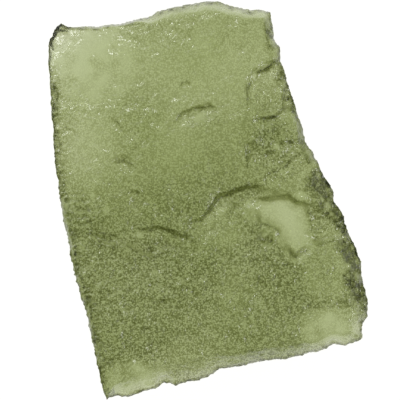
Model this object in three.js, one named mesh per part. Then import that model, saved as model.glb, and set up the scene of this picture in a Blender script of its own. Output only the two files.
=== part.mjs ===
// A moldavite: one flat broken piece of natural green glass with an etched skin, resting on the worn
// spot of its underside. Millimetres, +Z up; X runs to the right and Y up the stone as seen from above.
// The origin lies under the middle of the stone, on the surface that it rests on.
import * as THREE from "three";

const { clamp, degToRad, lerp, smoothstep } = THREE.MathUtils;

// Driving dimensions
const stoneLength = 34.0; // over all, along Y
const stoneWidth = 27.3; // over all, along X
const cornerThickness = { topLeft: 4.3, topRight: 3.9, bottomLeft: 4.2, bottomRight: 3.6 };
const crown = 0.8; // how much the middle stands above the corners
const thinCorner = { by: 3.8, power: 4.2 }; // how much thinner the top left is, and how fast that wears off
const skin = { color: 0x7f9150, roughness: 0.45, metalness: 0.0 };

// The broken edge, walked from the bottom left corner up the left side and round. Each stretch says how
// far in the top begins to fall (run), how high its lip is (lip), how high and how far in the underside is
// chipped away (foot, chip), and how lumpy it is (grit).
const stretches = {
  leftLower: { run: 0.4, lip: 4.1, foot: 0.4, chip: 0.4, grit: 0.8, points: [
    [-8.9, -16.4], [-9.5, -14.0], [-9.9, -12.1], [-10.5, -9.6], [-11.2, -7.2], [-11.8, -4.8],
  ] },
  leftUpper: { run: 0.4, lip: 3.8, foot: 0.4, chip: 0.4, grit: 0.8, points: [
    [-12.2, -2.7], [-12.6, -0.7], [-12.8, 1.2], [-13.1, 3.4], [-13.3, 6.2], [-13.5, 8.9], [-13.7, 11.6],
  ] },
  knob: { run: 0.7, lip: 1.7, foot: 0.4, chip: 0.6, grit: 0.8, points: [
    [-13.7, 13.2], [-13.5, 13.8], [-13.2, 14.6], [-12.6, 15.1], [-12.0, 14.8],
  ] },
  topLeft: { run: 0.3, lip: 2.3, foot: 0.4, chip: 0.4, grit: 0.4, points: [
    [-10.6, 14.8], [-8.9, 14.9], [-7.5, 15.1], [-6.3, 15.4], [-5.3, 15.6],
  ] },
  topRight: { run: 1.0, lip: 2.5, foot: 0.3, chip: 0.4, grit: 0.6, points: [
    [-4.3, 16.1], [-3.1, 16.4], [-1.7, 16.7], [-0.3, 17.0], [0.9, 16.9], [2.2, 16.5], [3.8, 16.2],
    [4.6, 16.3], [5.3, 16.0],
  ] },
  rightUpper: { run: 0.7, lip: 3.4, foot: 0.4, chip: 0.5, grit: 1.0, points: [
    [5.5, 14.9], [5.6, 13.7], [6.1, 13.0], [6.2, 11.8], [6.7, 10.3], [7.3, 8.4], [7.7, 7.0], [8.0, 6.2],
    [8.3, 5.0], [9.0, 3.9], [9.7, 2.4],
  ] },
  rightLower: { run: 1.7, lip: 3.2, foot: 0.4, chip: 0.6, grit: 1.8, points: [
    [10.6, 0.9], [10.8, -0.2], [11.4, -1.0], [11.8, -2.4], [12.6, -4.0], [13.1, -5.5], [13.2, -7.0],
    [13.6, -8.5], [13.6, -9.9],
  ] },
  bottomRight: { run: 1.2, lip: 2.4, foot: 0.3, chip: 0.4, grit: 0.9, points: [
    [13.2, -10.6], [13.2, -11.7], [12.7, -12.1], [11.6, -12.5], [10.7, -12.3], [9.7, -12.9], [8.4, -13.2],
    [6.5, -13.6], [4.6, -13.8], [2.7, -14.2], [0.9, -14.5],
  ] },
  bottomLeft: { run: 2.0, lip: 2.4, foot: 0.3, chip: 0.4, grit: 0.7, points: [
    [0.5, -14.9], [-1.0, -15.5], [-1.7, -15.5], [-2.7, -15.9], [-3.8, -15.6], [-4.4, -16.1],
    [-5.6, -16.4], [-6.9, -16.9], [-7.8, -16.7], [-8.7, -17.0],
  ] },
};
const measures = ["run", "lip", "foot", "chip", "grit"];
const stretchBlend = 1.2; // how near its ends one stretch begins to turn into the next
const outlineChips = { size: 0.9, height: 0.12 };
const bevelLumps = { size: 1.0, height: 0.3 };
const wallHackle = { size: 1.1, height: 0.25 };
const hackleSlant = { x: 3.0, y: -2.0 }; // how the hackle's ridges shift from lip to foot
const wallLean = 0.3; // how far the foot of the edge stands in from its lip

// Scars where flakes have come off the top. Each is a bowl that is steep on the side it turns its back
// to (turn in degrees from X), and whose floor climbs by fade on the side that it points to.
const topScars = {
  greatBowl: { x: 2.9, y: -2.5, along: 3.9, across: 4.1, turn: -62, depth: 0.3, fade: 0.9 },
  sideShelf: { x: 9.3, y: -1.9, along: 1.7, across: 1.9, turn: 100, depth: 0.5, fade: 0.7 },
  chipInBowl: { x: 5.0, y: -3.1, along: 0.7, across: 0.9, turn: 70, depth: 0.5, fade: 0.5 },
  upperScoop: { x: 5.2, y: 9.2, along: 2.6, across: 2.3, turn: -75, depth: 0.5, fade: 0.5 },
  scoopFacet: { x: 6.9, y: 8.8, along: 1.7, across: 0.8, turn: -105, depth: 1.2, fade: 0.3 },
  middleScoop: { x: 5.0, y: 3.9, along: 1.9, across: 1.7, turn: 10, depth: 0.35, fade: 0.7 },
  slantedGroove: { x: 7.1, y: 4.1, along: 0.9, across: 2.0, turn: 128, depth: 0.4, fade: 0.7 },
  longChip: { x: -0.8, y: 7.1, along: 0.95, across: 2.0, turn: -75, depth: 0.3, fade: 0.7 },
  smallChip: { x: -7.1, y: 3.1, along: 0.8, across: 1.0, turn: -100, depth: 0.25, fade: 0.6 },
  bottomNotch: { x: -3.6, y: -15.9, along: 1.1, across: 0.9, turn: -100, depth: 0.9, fade: 0.2 },
  cornerNotch: { x: -12.6, y: 13.6, along: 1.0, across: 0.8, turn: -45, depth: 0.4, fade: 0.4 },
};

// The bright crescent in the great bowl: a trough along an arc, clockwise from one angle to the other,
// narrow and shallow at its ends and wide and deep at its middle.
const brightScoop = {
  x: 4.55, y: -3.8, radius: 3.1, from: 100, to: -8,
  ends: { halfWidth: 1.3, depth: 0.5 }, middle: { halfWidth: 2.2, depth: 1.0 },
};

// Ledges: the top falls by drop across each line within the width of its wall, to the right of the way
// it is walked, and climbs back over reach.
const ledges = {
  brow: { drop: 0.6, reach: 2.0, wall: 0.35, points: [
    [-1.6, -1.4], [-0.7, -1.5], [0.3, -0.3], [1.1, 0.4], [2.2, 0.9], [3.2, 1.3], [4.4, 1.5],
  ] },
  innerArc: { drop: 0.3, reach: 1.2, wall: 0.5, points: [
    [3.3, 0.5], [5.3, 0.3], [6.9, 0.2], [8.1, -0.4], [8.9, -0.5], [9.6, -1.0],
  ] },
  bowlRim: { drop: 0.3, reach: 1.0, wall: 0.5, points: [
    [8.2, -0.6], [8.8, -1.4], [8.9, -2.2], [8.7, -3.0],
  ] },
  bowlSide: { drop: 0.35, reach: 1.0, wall: 0.35, points: [
    [6.2, -3.0], [5.3, -2.4], [4.4, -1.9], [3.9, -0.8],
  ] },
  bowlFoot: { drop: 0.3, reach: 0.8, wall: 0.4, points: [
    [8.5, -4.0], [7.9, -4.7], [7.3, -4.6], [6.6, -3.7],
  ] },
  rightTail: { drop: 0.3, reach: 1.0, wall: 0.35, points: [[10.8, -3.3], [9.6, -3.6], [8.6, -3.6]] },
  middleUpper: { drop: 0.4, reach: 1.7, wall: 0.35, points: [
    [-6.4, -2.3], [-4.9, -2.2], [-4.1, -2.2], [-3.1, -2.5], [-2.0, -3.1], [-0.6, -3.4],
  ] },
  middleLower: { drop: 0.4, reach: 1.5, wall: 0.7, points: [
    [-2.6, -4.4], [-3.7, -4.3], [-4.6, -4.8], [-6.7, -4.1], [-8.8, -3.9], [-10.3, -3.5],
  ] },
  scoopTop: { drop: 0.45, reach: 1.2, wall: 0.35, points: [
    [3.8, 10.8], [4.9, 11.3], [5.5, 11.6], [6.3, 11.9],
  ] },
  scoopFoot: { drop: 0.25, reach: 0.9, wall: 0.35, points: [
    [3.5, 6.8], [4.4, 6.8], [5.5, 7.1], [6.2, 7.7], [7.3, 7.9],
  ] },
};
const swerve = { size: 1.6, strength: 0.25 }; // what makes the rims of scars and ledges ragged

// Broad scoops on the underside. The last thins the stone under the pale patch by its corner.
const undersideScars = {
  longScoop: { x: -7.0, y: -6.0, along: 5.5, across: 4.0, turn: 60, depth: 0.4, fade: 0.5 },
  upperScoop: { x: 2.5, y: 10.0, along: 4.5, across: 4.0, turn: 200, depth: 0.3, fade: 0.4 },
  leftScoop: { x: -9.5, y: 5.0, along: 4.0, across: 3.0, turn: 0, depth: 0.3, fade: 0.4 },
  thinPatch: { x: 10.3, y: -10.0, along: 2.6, across: 2.2, turn: 30, depth: 0.3, fade: 0.2 },
};

// Relief of the two faces, in lumps about as wide as size
const topRelief = [{ size: 7.0, height: 0.2 }, { size: 2.8, height: 0.1 }, { size: 1.2, height: 0.06 }];
const undersideRelief = [{ size: 6.0, height: 0.35 }, { size: 2.2, height: 0.12 }];
const undersideRise = 0.2; // of the unworn underside, above what the stone rests on
const smoothUpperPart = { from: -1.0, to: 6.0, share: 0.4 }; // along Y, the small lumps die down
const restingSpot = { x: -0.9, y: -0.6, radius: 3.5, softening: 2.5 }; // worn flat, under the middle
const thinnest = 0.4; // of the glass, anywhere on the edge

// How finely the stone is divided. The rim has six points for each ring of the top.
const topRings = 32;
const undersideRings = 16;
const wallRows = 4;
const ringCentre = { x: -0.3, y: 0.3 };

// Even lumps of the given size, between -1 and 1, different for each seed.
function lumps(x, y, size, seed) {
  const turn = seed + 0.6;
  const u = (x * Math.cos(turn) - y * Math.sin(turn)) / size + seed * 17.3;
  const v = (x * Math.sin(turn) + y * Math.cos(turn)) / size - seed * 5.9;
  const [column, row] = [Math.floor(u), Math.floor(v)];
  const corner = (i, j) => {
    const mixed = Math.sin((column + i) * 127.1 + (row + j) * 311.7) * 43758.5453;
    return 2 * (mixed - Math.floor(mixed)) - 1;
  };
  const [across, up] = [smoothstep(u - column, 0, 1), smoothstep(v - row, 0, 1)];
  return lerp(lerp(corner(0, 0), corner(1, 0), across), lerp(corner(0, 1), corner(1, 1), across), up);
}

// How far a scar cuts below the face at (x, y).
function scarDepth(scar, x, y) {
  const angle = degToRad(scar.turn);
  const u = ((x - scar.x) * Math.cos(angle) + (y - scar.y) * Math.sin(angle)) / scar.along;
  const v = ((y - scar.y) * Math.cos(angle) - (x - scar.x) * Math.sin(angle)) / scar.across;
  const outward = Math.min(1, u * u + v * v);
  return scar.depth * (1 - outward ** 2) * (1 - (scar.fade * (1 + u)) / 2);
}

function deepestScar(scars, x, y) {
  return Math.max(...Object.values(scars).map((scar) => scarDepth(scar, x, y)));
}

// How far the bright scoop cuts below the face at (x, y).
function scoopDepth(x, y) {
  const [start, end] = [degToRad(brightScoop.from), degToRad(brightScoop.to)];
  const [offX, offY] = [x - brightScoop.x, y - brightScoop.y];
  const share = clamp((start - Math.atan2(offY, offX)) / (start - end), 0, 1);
  const angle = lerp(start, end, share);
  const [arcX, arcY] = [brightScoop.radius * Math.cos(angle), brightScoop.radius * Math.sin(angle)];
  const inMiddle = Math.sin(Math.PI * share);
  const halfWidth = lerp(brightScoop.ends.halfWidth, brightScoop.middle.halfWidth, inMiddle);
  const outward = Math.min(1, Math.hypot(offX - arcX, offY - arcY) / halfWidth);
  return lerp(brightScoop.ends.depth, brightScoop.middle.depth, inMiddle) * (1 - outward ** 2) ** 2;
}

// How far a ledge drops the face at (x, y).
function ledgeDepth(ledge, x, y) {
  const last = ledge.points.length - 1;
  let nearest = { distance: Infinity };
  for (let i = 0; i < last; i += 1) {
    const [startX, startY] = ledge.points[i];
    const [stepX, stepY] = [ledge.points[i + 1][0] - startX, ledge.points[i + 1][1] - startY];
    const along = ((x - startX) * stepX + (y - startY) * stepY) / (stepX ** 2 + stepY ** 2);
    const part = clamp(along, 0, 1);
    const [offX, offY] = [x - startX - part * stepX, y - startY - part * stepY];
    const distance = Math.hypot(offX, offY);
    if (distance < nearest.distance) {
      nearest = { distance, onRight: stepY * offX > stepX * offY, share: (i + part) / last };
    }
  }
  if (!nearest.onRight || nearest.distance > ledge.reach) return 0;
  const ends = Math.sqrt(Math.sin(Math.PI * nearest.share));
  const fall = smoothstep(nearest.distance, 0, ledge.wall) * (1 - nearest.distance / ledge.reach);
  return ledge.drop * ends * fall;
}

// The lip of the edge as evenly spaced points, counter-clockwise, each with its stretch's measures.
function makeRim(count) {
  const corners = Object.values(stretches)
    .flatMap(({ points, ...stretch }) => points.map(([x, y]) => ({ x, y, ...stretch })))
    .reverse();
  const follower = (i) => corners[(i + 1) % corners.length];
  const lengths = corners.map(({ x, y }, i) => Math.hypot(follower(i).x - x, follower(i).y - y));
  const total = lengths.reduce((sum, length) => sum + length, 0);
  const rim = [];
  let at = 0;
  let passed = 0;
  for (let i = 0; i < count; i += 1) {
    const goal = (i * total) / count;
    while (passed + lengths[at] < goal) {
      passed += lengths[at];
      at += 1;
    }
    const part = (goal - passed) / lengths[at];
    const point = { ...corners[at] };
    point.x = lerp(point.x, follower(at).x, part);
    point.y = lerp(point.y, follower(at).y, part);
    const inward = outlineChips.height * Math.abs(lumps(point.x, point.y, outlineChips.size, 1));
    const distance = Math.hypot(point.x - ringCentre.x, point.y - ringCentre.y);
    point.x = lerp(point.x, ringCentre.x, inward / distance);
    point.y = lerp(point.y, ringCentre.y, inward / distance);
    rim.push(point);
  }
  return rim;
}

const rim = makeRim(6 * topRings);

// The distance from (x, y) to the rim, and the edge's measures there, blended from the rim around.
function edgeAt(x, y) {
  const edge = { distance: Infinity, ...Object.fromEntries(measures.map((measure) => [measure, 0])) };
  let weights = 0;
  for (const point of rim) {
    const distance = Math.hypot(point.x - x, point.y - y);
    const weight = 1 / (distance ** 2 + stretchBlend ** 2) ** 3;
    edge.distance = Math.min(edge.distance, distance);
    for (const measure of measures) edge[measure] += weight * point[measure];
    weights += weight;
  }
  for (const measure of measures) edge[measure] /= weights;
  return edge;
}

function slabThickness(x, y) {
  const right = clamp(x / stoneWidth + 0.5, 0, 1);
  const up = clamp(y / stoneLength + 0.5, 0, 1);
  const upper = lerp(cornerThickness.topLeft, cornerThickness.topRight, right);
  const lower = lerp(cornerThickness.bottomLeft, cornerThickness.bottomRight, right);
  const crowned = lerp(lower, upper, up) + crown * 16 * right * (1 - right) * up * (1 - up);
  return crowned - thinCorner.by * ((1 - right) * up) ** thinCorner.power;
}

function topHeight(x, y) {
  const [broad, middling, small] = topRelief.map(({ size, height }, i) => height * lumps(x, y, size, i));
  const calm = smoothstep(y, smoothUpperPart.from, smoothUpperPart.to);
  let height = slabThickness(x, y) + broad + middling + small * lerp(1, smoothUpperPart.share, calm);
  const bentX = x + swerve.strength * lumps(x, y, swerve.size, 12);
  const bentY = y + swerve.strength * lumps(x, y, swerve.size, 13);
  height -= Math.max(deepestScar(topScars, bentX, bentY), scoopDepth(bentX, bentY));
  for (const ledge of Object.values(ledges)) height -= ledgeDepth(ledge, bentX, bentY);
  const edge = edgeAt(x, y);
  const outward = 1 - clamp(edge.distance / edge.run, 0, 1);
  const rough = edge.grit * bevelLumps.height * lumps(x, y, bevelLumps.size, 4);
  const lip = Math.max(edge.lip + rough, edge.foot + thinnest);
  height = Math.max(height, edge.foot + thinnest);
  return height - Math.max(0, height - lip) * outward ** 1.5;
}

function undersideHeight(x, y) {
  const [broad, small] = undersideRelief.map(({ size, height }, i) => height * lumps(x, y, size, 7 + i));
  const fromSpot = Math.hypot(x - restingSpot.x, y - restingSpot.y) - restingSpot.radius;
  const unworn = smoothstep(fromSpot, 0, restingSpot.softening);
  const edge = edgeAt(x, y);
  const chipped = edge.foot * (1 - clamp(edge.distance / edge.chip, 0, 1)) ** 1.5;
  const raised = undersideRise + broad + small + deepestScar(undersideScars, x, y);
  return Math.max(0, raised * unworn, chipped);
}

// One ring of a face, a given share of the way out from the centre to the rim.
function faceRing(count, share, height) {
  return Array.from({ length: count }, (_, i) => {
    const at = (i * rim.length) / count;
    const before = rim[Math.floor(at)];
    const after = rim[(Math.floor(at) + 1) % rim.length];
    const x = lerp(ringCentre.x, lerp(before.x, after.x, at % 1), share);
    const y = lerp(ringCentre.y, lerp(before.y, after.y, at % 1), share);
    return [x, y, height(x, y)];
  });
}

// One row of the broken edge, a given share of the way down from the lip to the foot.
function wallRow(lip, down) {
  return lip.map(([x, y, z]) => {
    const hackle = lumps(x + down * hackleSlant.x, y + down * hackleSlant.y, wallHackle.size, 10);
    const inward = wallLean * down ** 2 + wallHackle.height * Math.sin(Math.PI * down) * Math.abs(hackle);
    const share = inward / Math.hypot(x - ringCentre.x, y - ringCentre.y);
    return [lerp(x, ringCentre.x, share), lerp(y, ringCentre.y, share), lerp(z, edgeAt(x, y).foot, down)];
  });
}

// All rows of points, from the middle of the top out, over the edge and in to the middle of the underside.
function makeRows() {
  const centre = (height) => [[ringCentre.x, ringCentre.y, height(ringCentre.x, ringCentre.y)]];
  const rows = [centre(topHeight)];
  for (let ring = 1; ring <= topRings; ring += 1) {
    rows.push(faceRing(6 * ring, ring / topRings, topHeight));
  }
  const lip = rows[topRings];
  for (let row = 1; row <= wallRows; row += 1) rows.push(wallRow(lip, row / wallRows));
  for (let ring = undersideRings; ring >= 1; ring -= 1) {
    rows.push(faceRing(6 * ring, ring / (undersideRings + 0.75), undersideHeight));
  }
  rows.push(centre(undersideHeight));
  return rows;
}

// Moves and stretches the points so that the stone has its stated length and width about the origin.
function fitToSize(points) {
  [stoneWidth, stoneLength].forEach((size, axis) => {
    const values = points.map((point) => point[axis]);
    const [low, high] = [Math.min(...values), Math.max(...values)];
    for (const point of points) point[axis] = ((point[axis] - (low + high) / 2) * size) / (high - low);
  });
}

// Triangles between two neighbouring rows of points, stepping along whichever gives the shorter diagonal.
function joinRows(points, wide, narrow, facesUp) {
  const at = (row, i) => row.first + (i % row.count);
  const gap = (a, b) => Math.hypot(...points[a].map((value, axis) => value - points[b][axis]));
  const triangles = [];
  const narrowSteps = narrow.count > 1 ? narrow.count : 0;
  let [i, j] = [0, 0];
  while (i < wide.count || j < narrowSteps) {
    const [a, b] = [at(wide, i), at(narrow, j)];
    const shorter = gap(at(wide, i + 1), b) <= gap(a, at(narrow, j + 1));
    const stepsWide = j === narrowSteps || (i < wide.count && shorter);
    const c = stepsWide ? at(wide, i + 1) : at(narrow, j + 1);
    triangles.push(...(facesUp ? [b, a, c] : [a, b, c]));
    if (stepsWide) i += 1;
    else j += 1;
  }
  return triangles;
}

function makeStone() {
  const rows = makeRows();
  const points = rows.flat();
  fitToSize(points);
  let first = 0;
  const spans = rows.map((row) => {
    const span = { first, count: row.length };
    first += row.length;
    return span;
  });
  const triangles = spans.slice(1).flatMap((span, i) => {
    const widening = span.count > spans[i].count;
    return widening ? joinRows(points, span, spans[i], true) : joinRows(points, spans[i], span, false);
  });
  const geometry = new THREE.BufferGeometry();
  geometry.setAttribute("position", new THREE.Float32BufferAttribute(points.flat(), 3));
  geometry.setIndex(triangles);
  geometry.computeVertexNormals();
  return geometry;
}

const stone = new THREE.Mesh(makeStone(), new THREE.MeshStandardMaterial(skin));
stone.name = "moldavite";
const group = new THREE.Group();
group.add(stone);

export default group;
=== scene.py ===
import bpy
import numpy as np
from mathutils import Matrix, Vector


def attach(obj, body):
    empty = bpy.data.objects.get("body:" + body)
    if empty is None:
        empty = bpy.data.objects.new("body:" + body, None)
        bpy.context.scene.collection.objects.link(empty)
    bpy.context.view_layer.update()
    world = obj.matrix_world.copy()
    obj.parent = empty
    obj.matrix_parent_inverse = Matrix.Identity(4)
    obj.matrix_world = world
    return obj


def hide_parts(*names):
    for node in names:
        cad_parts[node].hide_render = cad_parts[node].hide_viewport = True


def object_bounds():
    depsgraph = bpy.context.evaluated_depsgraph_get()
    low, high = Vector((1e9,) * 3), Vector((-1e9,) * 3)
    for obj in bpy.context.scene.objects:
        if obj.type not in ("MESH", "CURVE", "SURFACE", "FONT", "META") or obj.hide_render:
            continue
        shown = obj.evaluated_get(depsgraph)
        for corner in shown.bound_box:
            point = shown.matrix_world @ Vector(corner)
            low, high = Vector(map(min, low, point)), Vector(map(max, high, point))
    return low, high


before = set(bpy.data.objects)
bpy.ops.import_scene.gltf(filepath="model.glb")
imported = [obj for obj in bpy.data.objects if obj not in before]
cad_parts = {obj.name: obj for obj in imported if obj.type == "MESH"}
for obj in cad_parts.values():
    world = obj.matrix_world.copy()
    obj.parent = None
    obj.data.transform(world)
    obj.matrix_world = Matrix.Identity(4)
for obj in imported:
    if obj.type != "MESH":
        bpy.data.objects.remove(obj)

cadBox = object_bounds()
mm = 0.001
print("frame loaded")

# the stone's build, in millimetres as in the frame: X right, Y up the stone, Z out of its top
stone = {
    "length": 34.0,
    "width": 27.3,
    "thickness": {"topLeft": 4.3, "topRight": 3.9, "bottomLeft": 4.2, "bottomRight": 3.6},
    "crown": 0.8,  # how much the middle stands above the corners
    "thinCorner": (3.8, 4.2),  # how much thinner the top left corner is, and how fast that wears off
    "bend": (1.6, 0.25),  # size and strength of the swerves of scars and ledges, and of smaller ones
    "fineBend": (0.55, 0.12),
    "ringCentre": (-0.3, 0.3),
    "topRings": 150,
    "undersideRings": 56,
    "wallRows": 14,
    "ringGrowth": 6,  # how many points each ring has more than the one inside it
    "footGap": 0.75,  # in rings, from the foot of the wall to the outermost ring of the underside
    "topRelief": [(7.0, 0.2), (2.8, 0.1), (1.2, 0.06)],  # size and height of each layer of lumps
    "undersideRelief": [(6.0, 0.35), (2.2, 0.12)],
    "undersideRise": 0.2,  # of the unworn underside, above what the stone rests on
    "etchedRelief": [(0.8, 0.11), (0.45, 0.05)],  # finer lumps, where the skin is etched
    "calmFrom": -1.0,  # along Y, where the smallest lumps of the top begin to die down
    "calmTo": 6.0,
    "calmShare": 0.4,  # how much of them is left there
    "restingSpot": {"x": -0.9, "y": -0.6, "radius": 3.5, "softening": 2.5},
    "thinnest": 0.4,  # of the glass, anywhere on the edge
}

# the broken edge, from the bottom left corner up the left side and round: how far in the top begins
# to fall, how high its lip is, how high and how far in the underside is chipped away, how lumpy it
# is, and how wide and how dark a band of crushed glass and painted shade runs along it
edge = {
    "stretches": [
        {"run": 0.4, "lip": 4.1, "foot": 0.4, "chip": 0.4, "grit": 0.8, "band": 0.9, "shade": 0.5, "points": [
            (-8.9, -16.4), (-9.5, -14.0), (-9.9, -12.1), (-10.5, -9.6), (-11.2, -7.2), (-11.8, -4.8)]},
        {"run": 0.4, "lip": 3.8, "foot": 0.4, "chip": 0.4, "grit": 0.8, "band": 0.8, "shade": 0.4, "points": [
            (-12.2, -2.7), (-12.6, -0.7), (-12.8, 1.2), (-13.1, 3.4), (-13.3, 6.2), (-13.5, 8.9),
            (-13.7, 11.6)]},
        {"run": 0.5, "lip": 2.3, "foot": 0.4, "chip": 0.6, "grit": 0.8, "band": 0.4, "shade": 0.1, "points": [
            (-13.7, 13.2), (-13.5, 13.8), (-13.2, 14.6), (-12.6, 15.1), (-12.0, 14.8)]},
        {"run": 0.3, "lip": 2.3, "foot": 0.4, "chip": 0.4, "grit": 0.4, "band": 0.3, "shade": 0.7, "points": [
            (-10.6, 14.8), (-8.9, 14.9), (-7.5, 15.1), (-6.3, 15.4), (-5.3, 15.6)]},
        {"run": 1.0, "lip": 2.5, "foot": 0.3, "chip": 0.4, "grit": 0.6, "band": 0.4, "shade": 0.6, "points": [
            (-4.3, 16.1), (-3.1, 16.4), (-1.7, 16.7), (-0.3, 17.0), (0.9, 16.9), (2.2, 16.5),
            (3.8, 16.2), (4.6, 16.3), (5.3, 16.0)]},
        {"run": 0.7, "lip": 3.4, "foot": 0.4, "chip": 0.5, "grit": 1.0, "band": 0.8, "shade": 0.6, "points": [
            (5.5, 14.9), (5.6, 13.7), (6.1, 13.0), (6.2, 11.8), (6.7, 10.3), (7.3, 8.4), (7.7, 7.0),
            (8.0, 6.2), (8.3, 5.0), (9.0, 3.9), (9.7, 2.4)]},
        {"run": 1.7, "lip": 3.2, "foot": 0.4, "chip": 0.6, "grit": 1.8, "band": 1.7, "shade": 0.9, "points": [
            (10.6, 0.9), (10.8, -0.2), (11.4, -1.0), (11.8, -2.4), (12.6, -4.0), (13.1, -5.5),
            (13.2, -7.0), (13.6, -8.5), (13.6, -9.9)]},
        {"run": 1.2, "lip": 2.4, "foot": 0.3, "chip": 0.4, "grit": 0.9, "band": 0.2, "shade": 0.4, "points": [
            (13.2, -10.6), (13.2, -11.7), (12.7, -12.1), (11.6, -12.5), (10.7, -12.3), (9.7, -12.9),
            (8.4, -13.2), (6.5, -13.6), (4.6, -13.8), (2.7, -14.2), (0.9, -14.5)]},
        {"run": 2.0, "lip": 2.4, "foot": 0.3, "chip": 0.4, "grit": 0.7, "band": 0.2, "shade": 0.4, "points": [
            (0.5, -14.9), (-1.0, -15.5), (-1.7, -15.5), (-2.7, -15.9), (-3.8, -15.6), (-4.4, -16.1),
            (-5.6, -16.4), (-6.9, -16.9), (-7.8, -16.7), (-8.7, -17.0)]},
    ],
    "measures": ["run", "lip", "foot", "chip", "grit", "band", "shade"],
    "blend": 1.2,  # how near its ends one stretch begins to turn into the next
    "outlineChips": (0.9, 0.12),  # size and height, here and in the next five
    "fineChips": (0.35, 0.07),
    "bevelLumps": (1.0, 0.3),
    "bevelGrit": (0.4, 0.12),
    "hackle": (1.1, 0.25),
    "fineHackle": (0.4, 0.1),
    "hackleSlant": (3.0, -2.0),  # how far the ridges of the wall shift on their way down
    "lean": 0.3,  # how far the foot stands in from the lip
    "bevelCurve": 1.5,  # how round the bevels above and below are; 1 would be flat
    "outline": (0.22, 0.8),  # width and darkness of the thin line of painted shade along the lip
    "bandLumps": (0.9, 0.7),  # size and strength of what makes the crushed, shaded band ragged
    "bandCore": 0.3,  # the share of its width, and of the thin line's, that is darkest
    "shards": (0.4, 1.0),  # size and contrast of the splinters and patches of painted shade in the crushed band
    "paleBevel": (0.6, 1.3),  # in runs, where the painted shade on slopes begins to grow and is whole
    "paleBevelLoss": 0.6,  # the share of it left at the lip, times the shade there
}
pointsAtOnce = 4000  # how many points are measured from the rim at a time

# flake scars on the top: bowls that are steep behind and whose floor climbs the way they turn
topScars = {
    "greatBowl": {"x": 2.9, "y": -2.5, "along": 3.9, "across": 4.1, "turn": -62, "depth": 0.3, "fade": 0.9},
    "sideShelf": {"x": 9.3, "y": -1.9, "along": 1.7, "across": 1.9, "turn": 100, "depth": 0.5, "fade": 0.7},
    "chipInBowl": {"x": 5.0, "y": -3.1, "along": 0.7, "across": 0.9, "turn": 70, "depth": 0.5, "fade": 0.5},
    "upperScoop": {"x": 5.2, "y": 9.2, "along": 2.6, "across": 2.3, "turn": -75, "depth": 0.5, "fade": 0.5},
    "scoopFacet": {"x": 6.9, "y": 8.8, "along": 1.7, "across": 0.8, "turn": -105, "depth": 1.2, "fade": 0.3},
    "middleScoop": {"x": 5.0, "y": 3.9, "along": 1.9, "across": 1.7, "turn": 10, "depth": 0.35, "fade": 0.7},
    "slantedGroove": {
        "x": 7.1, "y": 4.1, "along": 0.9, "across": 2.0, "turn": 128, "depth": 0.4, "fade": 0.7},
    "longChip": {"x": -0.8, "y": 7.1, "along": 0.95, "across": 2.0, "turn": -75, "depth": 0.3, "fade": 0.7},
    "smallChip": {"x": -7.1, "y": 3.1, "along": 0.8, "across": 1.0, "turn": -100, "depth": 0.25, "fade": 0.6},
    "bottomNotch": {
        "x": -3.6, "y": -15.9, "along": 1.1, "across": 0.9, "turn": -100, "depth": 0.9, "fade": 0.2},
    "cornerNotch": {
        "x": -12.6, "y": 13.6, "along": 1.0, "across": 0.8, "turn": -45, "depth": 0.4, "fade": 0.4},
}
brightScoop = {  # a trough along an arc, with a smooth floor
    "centre": (4.55, -3.8),
    "radius": 3.1,
    "from": 100,
    "to": -8,
    "halfWidth": (1.3, 2.2),  # at its ends and at its middle
    "depth": (0.5, 1.0),
}
undersideScars = {
    "longScoop": {"x": -7.0, "y": -6.0, "along": 5.5, "across": 4.0, "turn": 60, "depth": 0.4, "fade": 0.5},
    "upperScoop": {"x": 2.5, "y": 10.0, "along": 4.5, "across": 4.0, "turn": 200, "depth": 0.3, "fade": 0.4},
    "leftScoop": {"x": -9.5, "y": 5.0, "along": 4.0, "across": 3.0, "turn": 0, "depth": 0.3, "fade": 0.4},
    "thinPatch": {"x": 10.3, "y": -10.0, "along": 2.6, "across": 2.2, "turn": 30, "depth": 0.3, "fade": 0.2},
}
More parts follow.
